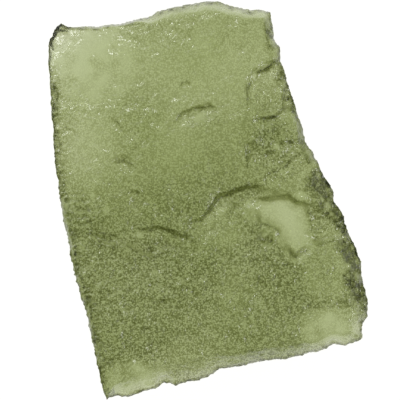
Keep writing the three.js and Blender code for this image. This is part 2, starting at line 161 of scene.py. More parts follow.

# ledges: the top falls across each line, to the right of the way it is walked, over the width of its
# wall, and climbs back over its reach; shade is how dark the wall is, its crushed glass and painted
# shade together, and spread widens the dark
ledges = {
    "brow": {"drop": 0.6, "reach": 2.0, "wall": 0.35, "shade": 0.6, "points": [
        (-1.6, -1.4), (-0.7, -1.5), (0.3, -0.3), (1.1, 0.4), (2.2, 0.9), (3.2, 1.3), (4.4, 1.5)]},
    "innerArc": {"drop": 0.3, "reach": 1.2, "wall": 0.5, "shade": 0.3, "points": [
        (3.3, 0.5), (5.3, 0.3), (6.9, 0.2), (8.1, -0.4), (8.9, -0.5), (9.6, -1.0)]},
    "bowlRim": {"drop": 0.3, "reach": 1.0, "wall": 0.5, "shade": 0.4, "points": [
        (8.2, -0.6), (8.8, -1.4), (8.9, -2.2), (8.7, -3.0)]},
    "bowlSide": {"drop": 0.35, "reach": 1.0, "wall": 0.35, "shade": 0.5, "points": [
        (6.2, -3.0), (5.3, -2.4), (4.4, -1.9), (3.9, -0.8)]},
    "bowlFoot": {"drop": 0.3, "reach": 0.8, "wall": 0.4, "shade": 0.6, "spread": 2.0, "points": [
        (8.5, -4.0), (7.9, -4.7), (7.3, -4.6), (6.6, -3.7)]},
    "rightTail": {"drop": 0.3, "reach": 1.0, "wall": 0.35, "shade": 0.5, "points": [
        (10.8, -3.3), (9.6, -3.6), (8.6, -3.6)]},
    "middleUpper": {"drop": 0.4, "reach": 1.7, "wall": 0.35, "shade": 0.6, "spread": 2.0, "points": [
        (-6.4, -2.3), (-4.9, -2.2), (-4.1, -2.2), (-3.1, -2.5), (-2.0, -3.1), (-0.6, -3.4)]},
    "middleLower": {"drop": 0.4, "reach": 1.5, "wall": 0.7, "shade": 0.5, "spread": 1.7, "points": [
        (-2.6, -4.4), (-3.7, -4.3), (-4.6, -4.8), (-6.7, -4.1), (-8.8, -3.9), (-10.3, -3.5)]},
    "scoopTop": {"drop": 0.45, "reach": 1.2, "wall": 0.35, "shade": 1.0, "points": [
        (3.8, 10.8), (4.9, 11.3), (5.5, 11.6), (6.3, 11.9)]},
    "scoopFoot": {"drop": 0.25, "reach": 0.9, "wall": 0.35, "shade": 0.8, "spread": 1.4, "points": [
        (3.5, 6.8), (4.4, 6.8), (5.5, 7.1), (6.2, 7.7), (7.3, 7.9)]},
}
fineLedges = {
    "scoopSide": {"drop": 0.16, "reach": 0.8, "wall": 0.4, "shade": 0.5, "points": [
        (3.3, 7.8), (3.2, 9.2), (3.5, 10.6)]},
    "middleSide": {"drop": 0.16, "reach": 0.8, "wall": 0.35, "shade": 0.5, "points": [
        (3.2, 2.6), (3.1, 3.6), (3.2, 4.8)]},
    "slantedStep": {"drop": 0.2, "reach": 0.8, "wall": 0.3, "shade": 0.6, "points": [
        (4.7, 2.0), (5.6, 2.6), (6.5, 2.9), (7.5, 3.7), (8.3, 4.7)]},
    "shortArc": {"drop": 0.2, "reach": 0.6, "wall": 0.3, "shade": 0.6, "points": [
        (4.6, 3.9), (5.2, 4.3), (5.8, 4.5)]},
    "edgeArc": {"drop": 0.2, "reach": 0.6, "wall": 0.3, "shade": 0.7, "points": [
        (6.0, 4.9), (6.6, 5.2), (7.4, 4.9)]},
    "pocketArc": {"drop": 0.3, "reach": 0.6, "wall": 0.3, "shade": 0.5, "points": [
        (6.1, -3.4), (5.4, -3.8), (4.6, -3.6)]},
    "longChipTop": {"drop": 0.18, "reach": 1.2, "wall": 0.3, "shade": 0.4, "points": [
        (-2.6, 7.2), (-1.9, 7.6), (-1.0, 7.95), (-0.3, 7.7), (0.3, 7.9), (1.0, 7.6)]},
    "curl": {"drop": 0.14, "reach": 0.7, "wall": 0.3, "shade": 0.45, "points": [
        (-8.6, 7.0), (-7.8, 6.75), (-7.2, 6.5), (-6.9, 5.9)]},
    "smallChipTop": {"drop": 0.2, "reach": 0.7, "wall": 0.3, "shade": 0.55, "points": [
        (-7.9, 3.3), (-7.2, 3.6), (-6.7, 3.3), (-6.2, 2.9)]},
    "upperDash": {"drop": 0.12, "reach": 0.4, "wall": 0.25, "shade": 0.35, "points": [
        (-2.3, 9.8), (-1.9, 10.0), (-1.4, 9.85)]},
    "midDash": {"drop": 0.2, "reach": 0.7, "wall": 0.3, "shade": 0.6, "points": [
        (-7.0, 0.75), (-6.3, 0.95), (-5.6, 0.8)]},
    "midFold": {"drop": 0.2, "reach": 0.9, "wall": 0.4, "shade": 0.45, "points": [
        (-11.0, -2.6), (-9.6, -2.4), (-8.4, -2.9), (-7.2, -2.8)]},
    "leftStep": {"drop": 0.2, "reach": 0.8, "wall": 0.35, "shade": 0.6, "points": [
        (-11.6, -0.5), (-10.8, -0.5), (-9.8, -1.0)]},
    "leftArc": {"drop": 0.14, "reach": 0.6, "wall": 0.3, "shade": 0.4, "points": [
        (-12.3, 6.1), (-11.4, 5.9), (-11.0, 5.4)]},
    "lowEye": {"drop": 0.2, "reach": 0.5, "wall": 0.3, "shade": 0.7, "points": [
        (-4.3, -8.6), (-3.8, -8.5), (-3.3, -8.7)]},
    "lowDash": {"drop": 0.2, "reach": 0.6, "wall": 0.35, "shade": 0.6, "points": [
        (4.2, -6.7), (4.7, -6.8), (5.1, -7.2)]},
    "rightDash": {"drop": 0.2, "reach": 0.6, "wall": 0.35, "shade": 0.5, "points": [
        (6.3, -5.1), (6.9, -5.3), (7.3, -5.6)]},
}
# the painted shade along the ledges, with their crushed glass
ledgeDarkness = {
    "width": 0.8,  # in walls of the ledge
    "behind": 0.4,  # the share of it above the line
    "ragged": (0.6, 0.6),  # size and strength of what breaks it up
}

# ripples: fans of low parallel waves in the skin
ripples = {
    "leftHackle": {
        "x": -12.9, "y": 4.6, "along": 8.2, "across": 1.1, "turn": 94, "spacing": 0.5, "height": 0.06},
    "lowHackle": {
        "x": -10.5, "y": -9.6, "along": 7.6, "across": 1.3, "turn": 104, "spacing": 0.5, "height": 0.06},
    "leftWrinkles": {
        "x": -10.9, "y": -2.6, "along": 4.6, "across": 2.3, "turn": 96, "spacing": 0.5, "height": 0.07},
    "leftLowWrinkles": {
        "x": -10.3, "y": -7.6, "along": 3.4, "across": 1.3, "turn": 100, "spacing": 0.44, "height": 0.06},
    "leftArcs": {
        "x": -12.2, "y": 6.3, "along": 1.7, "across": 1.1, "turn": 60, "spacing": 0.42, "height": 0.04},
    "bowlFan": {
        "x": 9.3, "y": -2.1, "along": 1.7, "across": 1.1, "turn": 95, "spacing": 0.36, "height": 0.07},
    "topFlutes": {
        "x": -4.3, "y": 15.0, "along": 1.7, "across": 1.1, "turn": 5, "spacing": 0.4, "height": 0.03},
    "bowlTeeth": {
        "x": 1.6, "y": -0.7, "along": 2.1, "across": 0.9, "turn": 35, "spacing": 0.65, "height": 0.08},
}
rippling = {
    "waver": 0.9,  # size of the lumps that make the waves waver
    "swell": 0.8,  # and of those that make some higher than others
    "least": 0.3,  # how high the lowest are
    "fadeFrom": 0.2,  # where a fan begins to die down, as the square of the way out
    "darkness": 0.15,  # painted shade in the troughs
}


def smoothstep(value, low, high):
    part = np.clip((value - low) / (high - low), 0, 1)
    return part * part * (3 - 2 * part)


def lerp(a, b, part):
    return a + (b - a) * part


def lumps(x, y, size, seed):  # even lumps between -1 and 1, different for each seed
    turn = seed + 0.6
    u = (x * np.cos(turn) - y * np.sin(turn)) / size + seed * 17.3
    v = (x * np.sin(turn) + y * np.cos(turn)) / size - seed * 5.9
    column, row = np.floor(u), np.floor(v)

    def corner(i, j):
        mixed = np.sin((column + i) * 127.1 + (row + j) * 311.7) * 43758.5453
        return 2 * (mixed - np.floor(mixed)) - 1

    across, up = smoothstep(u - column, 0, 1), smoothstep(v - row, 0, 1)
    return lerp(lerp(corner(0, 0), corner(1, 0), across), lerp(corner(0, 1), corner(1, 1), across), up)


def layer(sizeAndHeight, x, y, seed):  # lumps of one size, and of a height or strength
    size, height = sizeAndHeight
    return height * lumps(x, y, size, seed)


def scarDepth(scar, x, y):
    angle = np.radians(scar["turn"])
    u = ((x - scar["x"]) * np.cos(angle) + (y - scar["y"]) * np.sin(angle)) / scar["along"]
    v = ((y - scar["y"]) * np.cos(angle) - (x - scar["x"]) * np.sin(angle)) / scar["across"]
    outward = np.minimum(1, u * u + v * v)
    return scar["depth"] * (1 - outward ** 2) * (1 - scar["fade"] * (1 + u) / 2)


def deepestScar(scars, x, y):
    return np.max([scarDepth(scar, x, y) for scar in scars.values()], axis=0)


def besideLine(points, x, y):  # distance to a line of points, the side, and how it fades at its ends
    points = np.array(points)
    last = len(points) - 1
    nearest = np.full(x.shape, np.inf)
    share = np.zeros(x.shape)
    onRight = np.zeros(x.shape, bool)
    for i in range(last):
        start, step = points[i], points[i + 1] - points[i]
        part = np.clip(((x - start[0]) * step[0] + (y - start[1]) * step[1]) / (step @ step), 0, 1)
        offX, offY = x - start[0] - part * step[0], y - start[1] - part * step[1]
        distance = np.hypot(offX, offY)
        closer = distance < nearest
        nearest = np.where(closer, distance, nearest)
        share = np.where(closer, (i + part) / last, share)
        onRight = np.where(closer, step[1] * offX > step[0] * offY, onRight)
    return nearest, onRight, np.sqrt(np.clip(np.sin(np.pi * share), 0, 1))


def ledgeDepth(ledge, x, y):
    nearest, onRight, ends = besideLine(ledge["points"], x, y)
    fall = smoothstep(nearest, 0, ledge["wall"]) * np.clip(1 - nearest / ledge["reach"], 0, 1)
    return np.where(onRight, ledge["drop"] * ends * fall, 0)


def ledgeShade(ledge, x, y):  # how dark a ledge's rough wall is, its crushed glass and painted shade together, from 0 to 1
    nearest, onRight, ends = besideLine(ledge["points"], x, y)
    width = ledge["wall"] * ledgeDarkness["width"] * np.where(onRight, 1, ledgeDarkness["behind"])
    width = width * ledge.get("spread", 1)
    broken = 1 + layer(ledgeDarkness["ragged"], x, y, seed=34)
    return ledge["shade"] * ends * broken * (1 - smoothstep(nearest, 0, width * broken))


def scoopDepth(scoop, x, y):
    (centreX, centreY), start, end = scoop["centre"], np.radians(scoop["from"]), np.radians(scoop["to"])
    share = np.clip((start - np.arctan2(y - centreY, x - centreX)) / (start - end), 0, 1)
    angle = lerp(start, end, share)
    offX = x - centreX - scoop["radius"] * np.cos(angle)
    offY = y - centreY - scoop["radius"] * np.sin(angle)
    outward = np.hypot(offX, offY) / lerp(*scoop["halfWidth"], np.sin(np.pi * share))
    return lerp(*scoop["depth"], np.sin(np.pi * share)) * (1 - np.minimum(1, outward) ** 2) ** 2


def rippleHeight(ripple, x, y):
    angle = np.radians(ripple["turn"])
    u = (x - ripple["x"]) * np.cos(angle) + (y - ripple["y"]) * np.sin(angle)
    v = (y - ripple["y"]) * np.cos(angle) - (x - ripple["x"]) * np.sin(angle)
    outward = (u / ripple["along"]) ** 2 + (v / ripple["across"]) ** 2
    waver = ripple["spacing"] * lumps(x, y, rippling["waver"], seed=30)
    swell = rippling["least"] + np.abs(lumps(x, y, rippling["swell"], seed=31))
    wave = np.cos(2 * np.pi * (u + waver) / ripple["spacing"]) * swell
    return ripple["height"] * wave * (1 - smoothstep(outward, rippling["fadeFrom"], 1))


def rippleShade(ripple, x, y):  # painted shade in the troughs of the ripples, from 0 to 1
    return rippling["darkness"] * np.clip(-rippleHeight(ripple, x, y) / ripple["height"], 0, 1)


def bent(x, y):  # swerves that make the rims of scars and ledges ragged
    bentX = x + layer(stone["bend"], x, y, seed=12) + layer(stone["fineBend"], x, y, seed=14)
    bentY = y + layer(stone["bend"], x, y, seed=13) + layer(stone["fineBend"], x, y, seed=15)
    return bentX, bentY


def makeRim(count):  # evenly spaced points of the lip, counter-clockwise, with their measures
    corners = [(*point, *[stretch[name] for name in edge["measures"]])
               for stretch in edge["stretches"] for point in stretch["points"]]
    corners = np.array(corners[::-1])
    following = np.roll(corners, -1, axis=0)
    lengths = np.hypot(*(following - corners)[:, :2].T)
    passed = np.concatenate([[0], np.cumsum(lengths)])
    goals = np.arange(count) * passed[-1] / count
    at = np.searchsorted(passed, goals, side="right") - 1
    part = (goals - passed[at]) / lengths[at]
    rim = corners[at].copy()
    rim[:, :2] = lerp(corners[at, :2], following[at, :2], part[:, None])
    x, y = rim[:, 0], rim[:, 1]
    chipped = np.abs(layer(edge["outlineChips"], x, y, seed=1))
    return pullIn(rim, chipped + np.abs(layer(edge["fineChips"], x, y, seed=2)))


def pullIn(points, inward):  # moves points towards the ring centre
    centre = np.array(stone["ringCentre"])
    away = points[:, :2] - centre
    moved = points.copy()
    moved[:, :2] = points[:, :2] - away * (inward / np.hypot(*away.T))[:, None]
    return moved


def edgeAt(x, y, rim):  # distance to the rim and the edge's measures, blended from the rim around
    distances, measures = [], []
    for part in np.array_split(np.column_stack([x, y]), max(1, len(x) // pointsAtOnce)):
        squared = ((part[:, None, :] - rim[None, :, :2]) ** 2).sum(axis=2)
        weight = 1 / (squared + edge["blend"] ** 2) ** 3
        distances.append(np.sqrt(squared.min(axis=1)))
        measures.append(weight @ rim[:, 2:] / weight.sum(axis=1)[:, None])
    return np.concatenate(distances), dict(zip(edge["measures"], np.concatenate(measures).T))


def slabThickness(x, y):
    right = np.clip(x / stone["width"] + 0.5, 0, 1)
    up = np.clip(y / stone["length"] + 0.5, 0, 1)
    corners = stone["thickness"]
    upper = lerp(corners["topLeft"], corners["topRight"], right)
    lower = lerp(corners["bottomLeft"], corners["bottomRight"], right)
    thinner, power = stone["thinCorner"]
    middle = 16 * right * (1 - right) * up * (1 - up)  # 1 in the middle, 0 at the sides
    return lerp(lower, upper, up) + stone["crown"] * middle - thinner * ((1 - right) * up) ** power


def topHeight(x, y, rim):
    broad, middling, small = [layer(pair, x, y, seed) for seed, pair in enumerate(stone["topRelief"])]
    calm = smoothstep(y, stone["calmFrom"], stone["calmTo"])
    height = slabThickness(x, y) + broad + middling + small * lerp(1, stone["calmShare"], calm)
    bentX, bentY = bent(x, y)
    height = height - np.maximum(deepestScar(topScars, bentX, bentY), scoopDepth(brightScoop, bentX, bentY))
    for ledge in [*ledges.values(), *fineLedges.values()]:
        height = height - ledgeDepth(ledge, bentX, bentY)
    for ripple in ripples.values():
        height = height + rippleHeight(ripple, x, y)
    etched = etchAmount(x, y)
    for seed, pair in enumerate(stone["etchedRelief"], 32):
        height = height + etched * layer(pair, x, y, seed)
    distance, here = edgeAt(x, y, rim)
    outward = 1 - np.clip(distance / here["run"], 0, 1)
    rough = layer(edge["bevelLumps"], x, y, seed=4) + layer(edge["bevelGrit"], x, y, seed=5)
    lowest = here["foot"] + stone["thinnest"]
    lip = np.maximum(here["lip"] + here["grit"] * rough, lowest)
    height = np.maximum(height, lowest)
    return height - np.maximum(0, height - lip) * outward ** edge["bevelCurve"]


def undersideHeight(x, y, rim):
    broad, small = [layer(pair, x, y, seed) for seed, pair in enumerate(stone["undersideRelief"], 7)]
    spot = stone["restingSpot"]
    fromSpot = np.hypot(x - spot["x"], y - spot["y"]) - spot["radius"]
    unworn = smoothstep(fromSpot, 0, spot["softening"])
    distance, here = edgeAt(x, y, rim)
    chipped = here["foot"] * (1 - np.clip(distance / here["chip"], 0, 1)) ** edge["bevelCurve"]
    raised = stone["undersideRise"] + broad + small + deepestScar(undersideScars, x, y)
    return np.maximum(np.maximum(0, raised * unworn), chipped)


def faceRing(count, share, rim, height):  # one ring of a face, a share of the way out to the rim
    at = np.arange(count) * len(rim) / count
    before = at.astype(int)
    onRim = lerp(rim[before, :2], rim[(before + 1) % len(rim), :2], (at - before)[:, None])
    x, y = lerp(np.array(stone["ringCentre"]), onRim, share).T
    return np.column_stack([x, y, height(x, y, rim)])


def wallRow(lip, down, rim):  # one row of the broken edge, a share of the way down to the foot
    x, y = lip[:, 0], lip[:, 1]
    slantX, slantY = down * edge["hackleSlant"][0], down * edge["hackleSlant"][1]
    ridges = np.abs(layer(edge["hackle"], x + slantX, y + slantY, seed=10))
    ridges += np.abs(layer(edge["fineHackle"], x - slantX, y + slantY, seed=11))
    row = pullIn(lip, edge["lean"] * down ** 2 + np.sin(np.pi * down) * ridges)
    row[:, 2] = lerp(lip[:, 2], edgeAt(x, y, rim)[1]["foot"], down)
    return row


def joinRows(points, wide, narrow, facesUp):  # each row is the number of its first point and its count
    (wideFirst, wideCount), (narrowFirst, narrowCount) = wide, narrow
    outer = points[wideFirst:wideFirst + wideCount]
    inner = points[narrowFirst:narrowFirst + narrowCount]
    narrowSteps = narrowCount if narrowCount > 1 else 0
    triangles = []
    i = j = 0
    while i < wideCount or j < narrowSteps:
        a, b = i % wideCount, j % narrowCount
        nextA, nextB = (i + 1) % wideCount, (j + 1) % narrowCount
        acrossWide = sum((p - q) ** 2 for p, q in zip(outer[nextA], inner[b]))
        acrossNarrow = sum((p - q) ** 2 for p, q in zip(outer[a], inner[nextB]))
        stepsWide = j == narrowSteps or (i < wideCount and acrossWide <= acrossNarrow)
        third = wideFirst + nextA if stepsWide else narrowFirst + nextB
        pair = (narrowFirst + b, wideFirst + a) if facesUp else (wideFirst + a, narrowFirst + b)
        triangles.append((*pair, third))
        if stepsWide:
            i += 1
        else:
            j += 1
    return triangles


def stoneRows():  # the rows of points from the middle of the top out, down the edge and back below
    growth, rings = stone["ringGrowth"], stone["topRings"]
    rim = makeRim(growth * rings)
    centreX, centreY = [np.array([value]) for value in stone["ringCentre"]]
    rows = [np.column_stack([centreX, centreY, topHeight(centreX, centreY, rim)])]
    for ring in range(1, rings + 1):
        rows.append(faceRing(growth * ring, ring / rings, rim, topHeight))
    lip = rows[-1]
    for row in range(1, stone["wallRows"] + 1):
        rows.append(wallRow(lip, row / stone["wallRows"], rim))
    for ring in range(stone["undersideRings"], 0, -1):
        share = ring / (stone["undersideRings"] + stone["footGap"])
        rows.append(faceRing(growth * ring, share, rim, undersideHeight))
    rows.append(np.column_stack([centreX, centreY, undersideHeight(centreX, centreY, rim)]))
    return rows, rim


def makeStoneMesh():
    rows, rim = stoneRows()
    points = np.concatenate(rows)
    for axis, size in enumerate([stone["width"], stone["length"]]):
        low, high = points[:, axis].min(), points[:, axis].max()
        points[:, axis] = (points[:, axis] - (low + high) / 2) * size / (high - low)
    points[:, 2] = np.minimum(points[:, 2], cadBox[1][2] / mm)
    firsts = np.cumsum([0] + [len(row) for row in rows]).tolist()
    spans = [(first, len(row)) for first, row in zip(firsts, rows)]
    places = points.tolist()
    triangles = []
    for before, span in zip(spans, spans[1:]):
        if span[1] > before[1]:
            triangles += joinRows(places, span, before, True)
        else:
            triangles += joinRows(places, before, span, False)

    mesh = bpy.data.meshes.new("moldaviteStone")
    mesh.from_pydata((points * mm).tolist(), [], triangles)
    mesh.validate()
    mesh.polygons.foreach_set("use_smooth", [True] * len(mesh.polygons))
    print("stone shaped:", len(triangles), "triangles")
    firstOfWall = firsts[stone["topRings"] + 1]
    firstBelow = firsts[stone["topRings"] + stone["wallRows"] + 1]
    return mesh, points, rim, (firstOfWall, firstBelow)


# how deeply each part of the skin is etched, from 0 to 1
etching = {
    "upper": 0.62,
    "lower": 1.0,
    "from": 5.0,  # along Y, from the calm upper part to the coarse lower one
    "to": -3.0,
    "cloud": (3.5, 0.2),  # size and height of its patches
    "roughPatches": [
        {"x": -0.8, "y": 6.9, "along": 2.4, "across": 1.0, "turn": 0, "depth": 0.2, "fade": 0.0},
        {"x": 5.4, "y": 9.2, "along": 2.6, "across": 2.9, "turn": 0, "depth": 0.25, "fade": 0.0},
        {"x": 6.0, "y": 4.2, "along": 3.2, "across": 2.8, "turn": 0, "depth": 0.3, "fade": 0.0},
    ],
    "smoothPatches": [
        {"x": 10.1, "y": -10.6, "along": 2.8, "across": 2.0, "turn": 10, "depth": 0.6, "fade": 0.0},
        {"x": -6.4, "y": -15.4, "along": 3.6, "across": 1.9, "turn": 12, "depth": 0.6, "fade": 0.0},
        {"x": -10.0, "y": 12.0, "along": 4.6, "across": 4.0, "turn": -30, "depth": 0.65, "fade": 0.0},
        {"x": 2.0, "y": 13.5, "along": 4.0, "across": 2.8, "turn": 0, "depth": 0.3, "fade": 0.0},
        {"x": 1.4, "y": -2.2, "along": 2.6, "across": 2.2, "turn": 0, "depth": 0.25, "fade": 0.0},
        {"x": 10.0, "y": -5.6, "along": 2.6, "across": 3.4, "turn": 0, "depth": 0.3, "fade": 0.0},
    ],
    "scoopCalm": 0.85,  # how much less the floor of the bright scoop is etched
    "ragged": (0.8, 0.6),  # size and strength of what breaks up the rims of the smooth patches
    "calmest": 0.95,  # the most that a smooth patch takes away
    "limits": (0.05, 1.2),  # the least and the most etched
}


def etchAmount(x, y):
    amount = lerp(etching["upper"], etching["lower"], smoothstep(-y, -etching["from"], -etching["to"]))
    amount = amount + layer(etching["cloud"], x, y, seed=20)
    bentX, bentY = bent(x, y)
    broken = 1 + layer(etching["ragged"], x, y, seed=22)
    for patch in etching["smoothPatches"]:
        amount = amount * (1 - np.clip(scarDepth(patch, bentX, bentY) * broken, 0, etching["calmest"]))
    scooped = scoopDepth(brightScoop, bentX, bentY) / brightScoop["depth"][1]
    amount = amount * (1 - etching["scoopCalm"] * np.sqrt(scooped))
    for patch in etching["roughPatches"]:
        amount = amount + np.clip(scarDepth(patch, bentX, bentY), 0, 1)
    return np.clip(amount, *etching["limits"])


def shadeAmount(x, y, rim):  # how dark the crushed glass of the edge and the ledges is, with painted shade along them, on the lip's thin line and in the ripple troughs, from 0 to 1
    distance, here = edgeAt(x, y, rim)
    band = here["band"] * (1 + layer(edge["bandLumps"], x, y, seed=21))
    crushedAndShaded = here["shade"] * (1 + layer(edge["shards"], x, y, seed=23))
    lineWidth, lineShade = edge["outline"]
    amounts = [crushedAndShaded * (1 - smoothstep(distance, edge["bandCore"] * band, band)),
               lineShade * (1 - smoothstep(distance, edge["bandCore"] * lineWidth, lineWidth))]
    bentX, bentY = bent(x, y)
    for ledge in [*ledges.values(), *fineLedges.values()]:
        amounts.append(ledgeShade(ledge, bentX, bentY))
    for ripple in ripples.values():
        amounts.append(rippleShade(ripple, x, y))
    return np.clip(np.max(amounts, axis=0), 0, 1)


# small fresh chips, whose splinters glint: X, Y and radius
chips = [
    (-12.0, -0.3, 0.6), (-10.6, -3.8, 0.4), (-9.7, 0.5, 0.35), (-8.5, -0.8, 0.4), (-5.7, -3.0, 0.4),
    (4.7, -2.8, 0.5), (3.5, -0.3, 0.4), (7.9, 0.3, 0.5), (1.2, -0.9, 0.5), (11.9, -5.3, 0.6),
    (10.2, -0.3, 0.5), (10.6, -1.3, 0.4), (5.8, 4.6, 0.4), (3.8, 10.6, 0.4), (-0.7, 7.0, 0.6),
]
chipCore = 0.4  # the share of a chip's radius that is fully splintered


def chipAmount(x, y):  # how splintered the chips are, from 0 to 1
    bentX, bentY = bent(x, y)
    amounts = []
    for atX, atY, radius in chips:
        distance = np.hypot(bentX - atX, bentY - atY)
        amounts.append(1 - smoothstep(distance, chipCore * radius, radius))
    return np.max(amounts, axis=0)


def insideAmount(x, y, rim):  # how much of the painted shade on slopes counts: 1 well inside the bevel, and less on a pale bevel
    distance, here = edgeAt(x, y, rim)
    near, far = edge["paleBevel"]
    inside = smoothstep(distance, near * here["run"], far * here["run"])
    return lerp(edge["paleBevelLoss"] * here["shade"], 1, inside)


# the etched skin, as geometry nodes: pits and worm-like grain pressed into the surface
skin = {
    "Pit Size": 0.38 * mm,
    "Pit Depth": 0.08 * mm,
    "Grain Size": 0.42 * mm,
    "Grain Depth": 0.09 * mm,
    "Seed": 4.0,
}
skinShape = {  # the form of its pits and worms, and what the glass reads from them
    "pitSmoothness": 0.4,
    "pitSteepness": 1.6,
    "wormSharpness": 7.0,
    "wormDetail": 1.5,
    "wormDistortion": 1.4,
    "pitShare": 0.4,  # how much of what the glass reads as pitted comes from the pits and the worms
    "wormShare": 0.6,
    "blurring": 5,  # steps of smoothing of the surface that hollows are measured from
    "hollowDepth": 0.05 * mm,  # of a hollow that counts in full
    "shadedSide": (0.35, -0.94, 0.0),  # slopes that face this way get the most painted shade, and slopes facing away get painted light
}


def feed(tree, node, inputs):  # links or sets inputs of a node, by name or number
    for name, value in inputs.items():
        if isinstance(value, bpy.types.NodeSocket):
            tree.links.new(value, node.inputs[name])
        else:
            node.inputs[name].default_value = value


def toolsFor(tree):  # functions that add nodes to a tree and return their outputs
    def add(kind, inputs, **settings):
        node = tree.nodes.new(kind)
        for name, value in settings.items():
            setattr(node, name, value)
        feed(tree, node, inputs)
        return node.outputs

    def math(operation, *values, clamp=False):
        return add("ShaderNodeMath", dict(enumerate(values)), operation=operation, use_clamp=clamp)[0]

    def vectorMath(operation, *values):
        return add("ShaderNodeVectorMath", dict(enumerate(values)), operation=operation)

    def scaled(vector, factor):
        return add("ShaderNodeVectorMath", {0: vector, "Scale": factor}, operation="SCALE")["Vector"]

    return add, math, vectorMath, scaled


def wormsIn(math, noise, sharpness):  # 1 along the winding lines where a noise is half, and less beside
    fold = math("ABSOLUTE", math("SUBTRACT", noise, 0.5))
    return math("SUBTRACT", 1.0, math("MULTIPLY", fold, sharpness), clamp=True)


def makeSkinTree():
    tree = bpy.data.node_groups.new("etchedSkin", "GeometryNodeTree")
    face = tree.interface
    face.new_socket("Geometry", in_out="INPUT", socket_type="NodeSocketGeometry")
    for name in skin:
        face.new_socket(name, in_out="INPUT", socket_type="NodeSocketFloat")
    face.new_socket("Material", in_out="INPUT", socket_type="NodeSocketMaterial")
    face.new_socket("Geometry", in_out="OUTPUT", socket_type="NodeSocketGeometry")
    add, math, vectorMath, scaled = toolsFor(tree)

    def keep(geometry, name, value):  # stores a value at each point, which the glass reads
        stored = {"Geometry": geometry, "Name": name, "Value": value}
        return add("GeometryNodeStoreNamedAttribute", stored, data_type="FLOAT", domain="POINT")["Geometry"]

    given = add("NodeGroupInput", {})
    place = add("GeometryNodeInputPosition", {})[0]
    normal = add("GeometryNodeInputNormal", {})[0]
    etch = add("GeometryNodeInputNamedAttribute", {"Name": "etch"}, data_type="FLOAT")["Attribute"]

    # pits and worms, pressed in
    pits = add("ShaderNodeTexVoronoi", {
        "Vector": place,
        "Scale": math("DIVIDE", 1.0, given["Pit Size"]),
        "W": given["Seed"],
        "Smoothness": skinShape["pitSmoothness"],
    }, voronoi_dimensions="4D", feature="SMOOTH_F1")
    grain = add("ShaderNodeTexNoise", {
        "Vector": place,
        "Scale": math("DIVIDE", 1.0, given["Grain Size"]),
        "W": given["Seed"],
        "Detail": skinShape["wormDetail"],
        "Distortion": skinShape["wormDistortion"],
    }, noise_dimensions="4D")
    bowl = math("SUBTRACT", 1.0, math("MULTIPLY", pits["Distance"], skinShape["pitSteepness"]), clamp=True)
    worm = wormsIn(math, grain["Fac"], skinShape["wormSharpness"])
    depth = math("ADD", math("MULTIPLY", bowl, given["Pit Depth"]),
                 math("MULTIPLY", worm, given["Grain Depth"]))
    inward = math("MULTIPLY", math("MULTIPLY", depth, etch), -1.0)
    pitted = math("ADD", math("MULTIPLY", bowl, skinShape["pitShare"]),
                  math("MULTIPLY", worm, skinShape["wormShare"]))
    geometry = keep(given["Geometry"], "pit", math("MULTIPLY", pitted, etch, clamp=True))
    pressed = {"Geometry": geometry, "Offset": scaled(normal, inward)}
    geometry = add("GeometryNodeSetPosition", pressed)["Geometry"]

    # hollows, and slopes to the shaded side and away from it, for painted shade and painted light
    smoothed = {0: place, "Iterations": skinShape["blurring"]}
    around = add("GeometryNodeBlurAttribute", smoothed, data_type="FLOAT_VECTOR")[0]
    sunk = vectorMath("DOT_PRODUCT", vectorMath("SUBTRACT", around, place)["Vector"], normal)["Value"]
    upright = add("ShaderNodeSeparateXYZ", {0: normal})["Z"]
    squared = math("SUBTRACT", 1.0, math("POWER", upright, 2.0), clamp=True)
    facing = vectorMath("DOT_PRODUCT", normal, skinShape["shadedSide"])["Value"]
    turnedTo = math("MULTIPLY", math("SQRT", squared), facing)
    for name, value in [
        ("hollow", math("DIVIDE", sunk, skinShape["hollowDepth"])),
        ("steep", math("MULTIPLY", math("ADD", squared, turnedTo), 0.5, clamp=True)),
        ("clear", math("MULTIPLY", math("SUBTRACT", squared, turnedTo), 0.5, clamp=True)),
    ]:
        geometry = keep(geometry, name, value)

    whole = add("GeometryNodeRealizeInstances", {"Geometry": geometry})["Geometry"]
    dressed = add("GeometryNodeSetMaterial", {"Geometry": whole, "Material": given["Material"]})
    add("NodeGroupOutput", {"Geometry": dressed["Geometry"]})
    return tree
